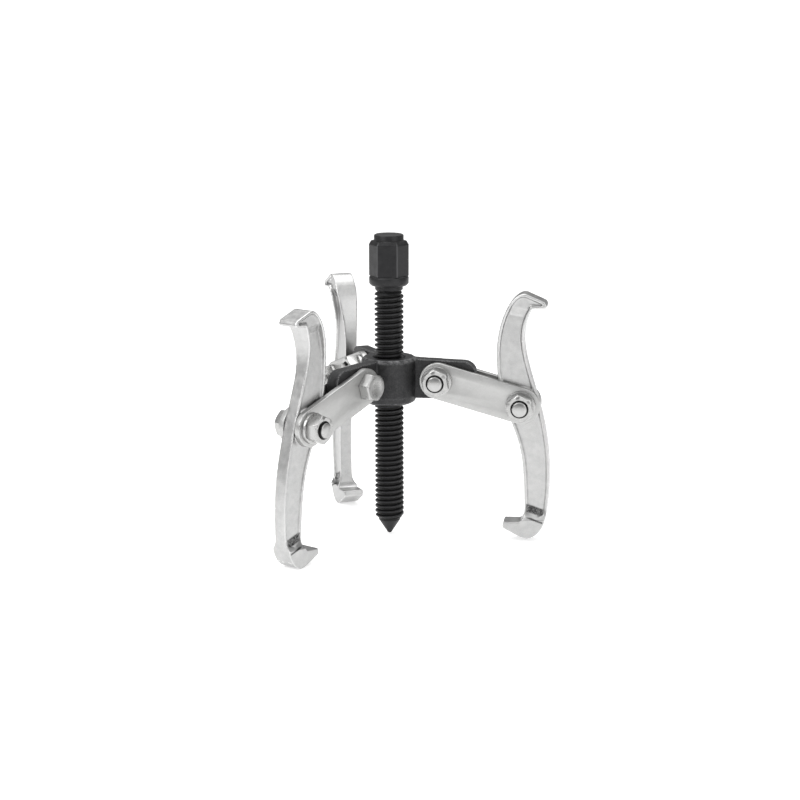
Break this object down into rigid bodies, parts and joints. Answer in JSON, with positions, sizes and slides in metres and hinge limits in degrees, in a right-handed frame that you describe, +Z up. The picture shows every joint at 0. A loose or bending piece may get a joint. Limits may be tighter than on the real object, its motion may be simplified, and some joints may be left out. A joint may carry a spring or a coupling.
{
  "type": "gear puller",
  "caption": "Three-jaw gear puller: forged yoke, threaded forcing screw with hexagon head and cone point, straddle links and reversible double-ended jaws.",
  "frame": {"origin": "the centre point of the forcing screw, on the screw's axis; the lowest jaw reaches 0.7 mm lower", "axes": "+Z up along the forcing screw towards its hexagon; +X along arm a; arms b and c follow at 120 and 240 degrees about +Z"},
  "size_m": [0.1259, 0.1432, 0.1483],
  "materials": {
    "black_oxide": "blackened forged and cut steel, semi-matte, slightly worn on the edges",
    "zinc_forging": "bright zinc plating on drop-forged steel, satin with fine scale texture",
    "zinc_strap": "bright zinc plating on rolled steel strip, satin",
    "zinc_fastener": "bright zinc plating on cold-formed steel"
  },
  "bodies": {
    "yoke": {"yoke": "black_oxide"},
    "screw": {"forcing_screw": "black_oxide"},
    "link_a": {"strap_a_1": "zinc_strap", "strap_a_2": "zinc_strap", "inner_bolt_a": "zinc_fastener", "inner_washer_a": "zinc_fastener", "inner_nut_a": "zinc_fastener", "outer_bolt_a": "zinc_fastener", "outer_washer_a": "zinc_fastener", "outer_nut_a": "zinc_fastener"},
    "jaw_a": {"jaw_a": "zinc_forging"},
    "link_b": {"strap_b_1": "zinc_strap", "strap_b_2": "zinc_strap", "inner_bolt_b": "zinc_fastener", "inner_washer_b": "zinc_fastener", "inner_nut_b": "zinc_fastener", "outer_bolt_b": "zinc_fastener", "outer_washer_b": "zinc_fastener", "outer_nut_b": "zinc_fastener"},
    "jaw_b": {"jaw_b": "zinc_forging"},
    "link_c": {"strap_c_1": "zinc_strap", "strap_c_2": "zinc_strap", "inner_bolt_c": "zinc_fastener", "inner_washer_c": "zinc_fastener", "inner_nut_c": "zinc_fastener", "outer_bolt_c": "zinc_fastener", "outer_washer_c": "zinc_fastener", "outer_nut_c": "zinc_fastener"},
    "jaw_c": {"jaw_c": "zinc_forging"}
  },
  "joints": [
    {"name": "screw_feed", "type": "slide", "parent": "yoke", "child": "screw", "axis": [0, 0, 1], "range_m": [-0.033, 0.054]},
    {"name": "link_swing_a", "type": "hinge", "parent": "yoke", "child": "link_a", "pos_m": [0.024, 0, 0.078], "axis": [0, -1, 0], "range_deg": [-20, 30]},
    {"name": "jaw_swing_a", "type": "hinge", "parent": "link_a", "child": "jaw_a", "pos_m": [0.06451, 0, 0.06692], "axis": [0, -1, 0], "range_deg": [-15, 20]},
    {"name": "link_swing_b", "type": "hinge", "parent": "yoke", "child": "link_b", "pos_m": [-0.012, 0.02079, 0.078], "axis": [0.866, 0.5, 0], "range_deg": [-20, 30]},
    {"name": "jaw_swing_b", "type": "hinge", "parent": "link_b", "child": "jaw_b", "pos_m": [-0.03206, 0.05553, 0.06558], "axis": [0.866, 0.5, 0], "range_deg": [-15, 20]},
    {"name": "link_swing_c", "type": "hinge", "parent": "yoke", "child": "link_c", "pos_m": [-0.012, -0.02079, 0.078], "axis": [-0.866, 0.5, 0], "range_deg": [-20, 30]},
    {"name": "jaw_swing_c", "type": "hinge", "parent": "link_c", "child": "jaw_c", "pos_m": [-0.032, -0.05542, 0.06516], "axis": [-0.866, 0.5, 0], "range_deg": [-15, 20]}
  ]
}
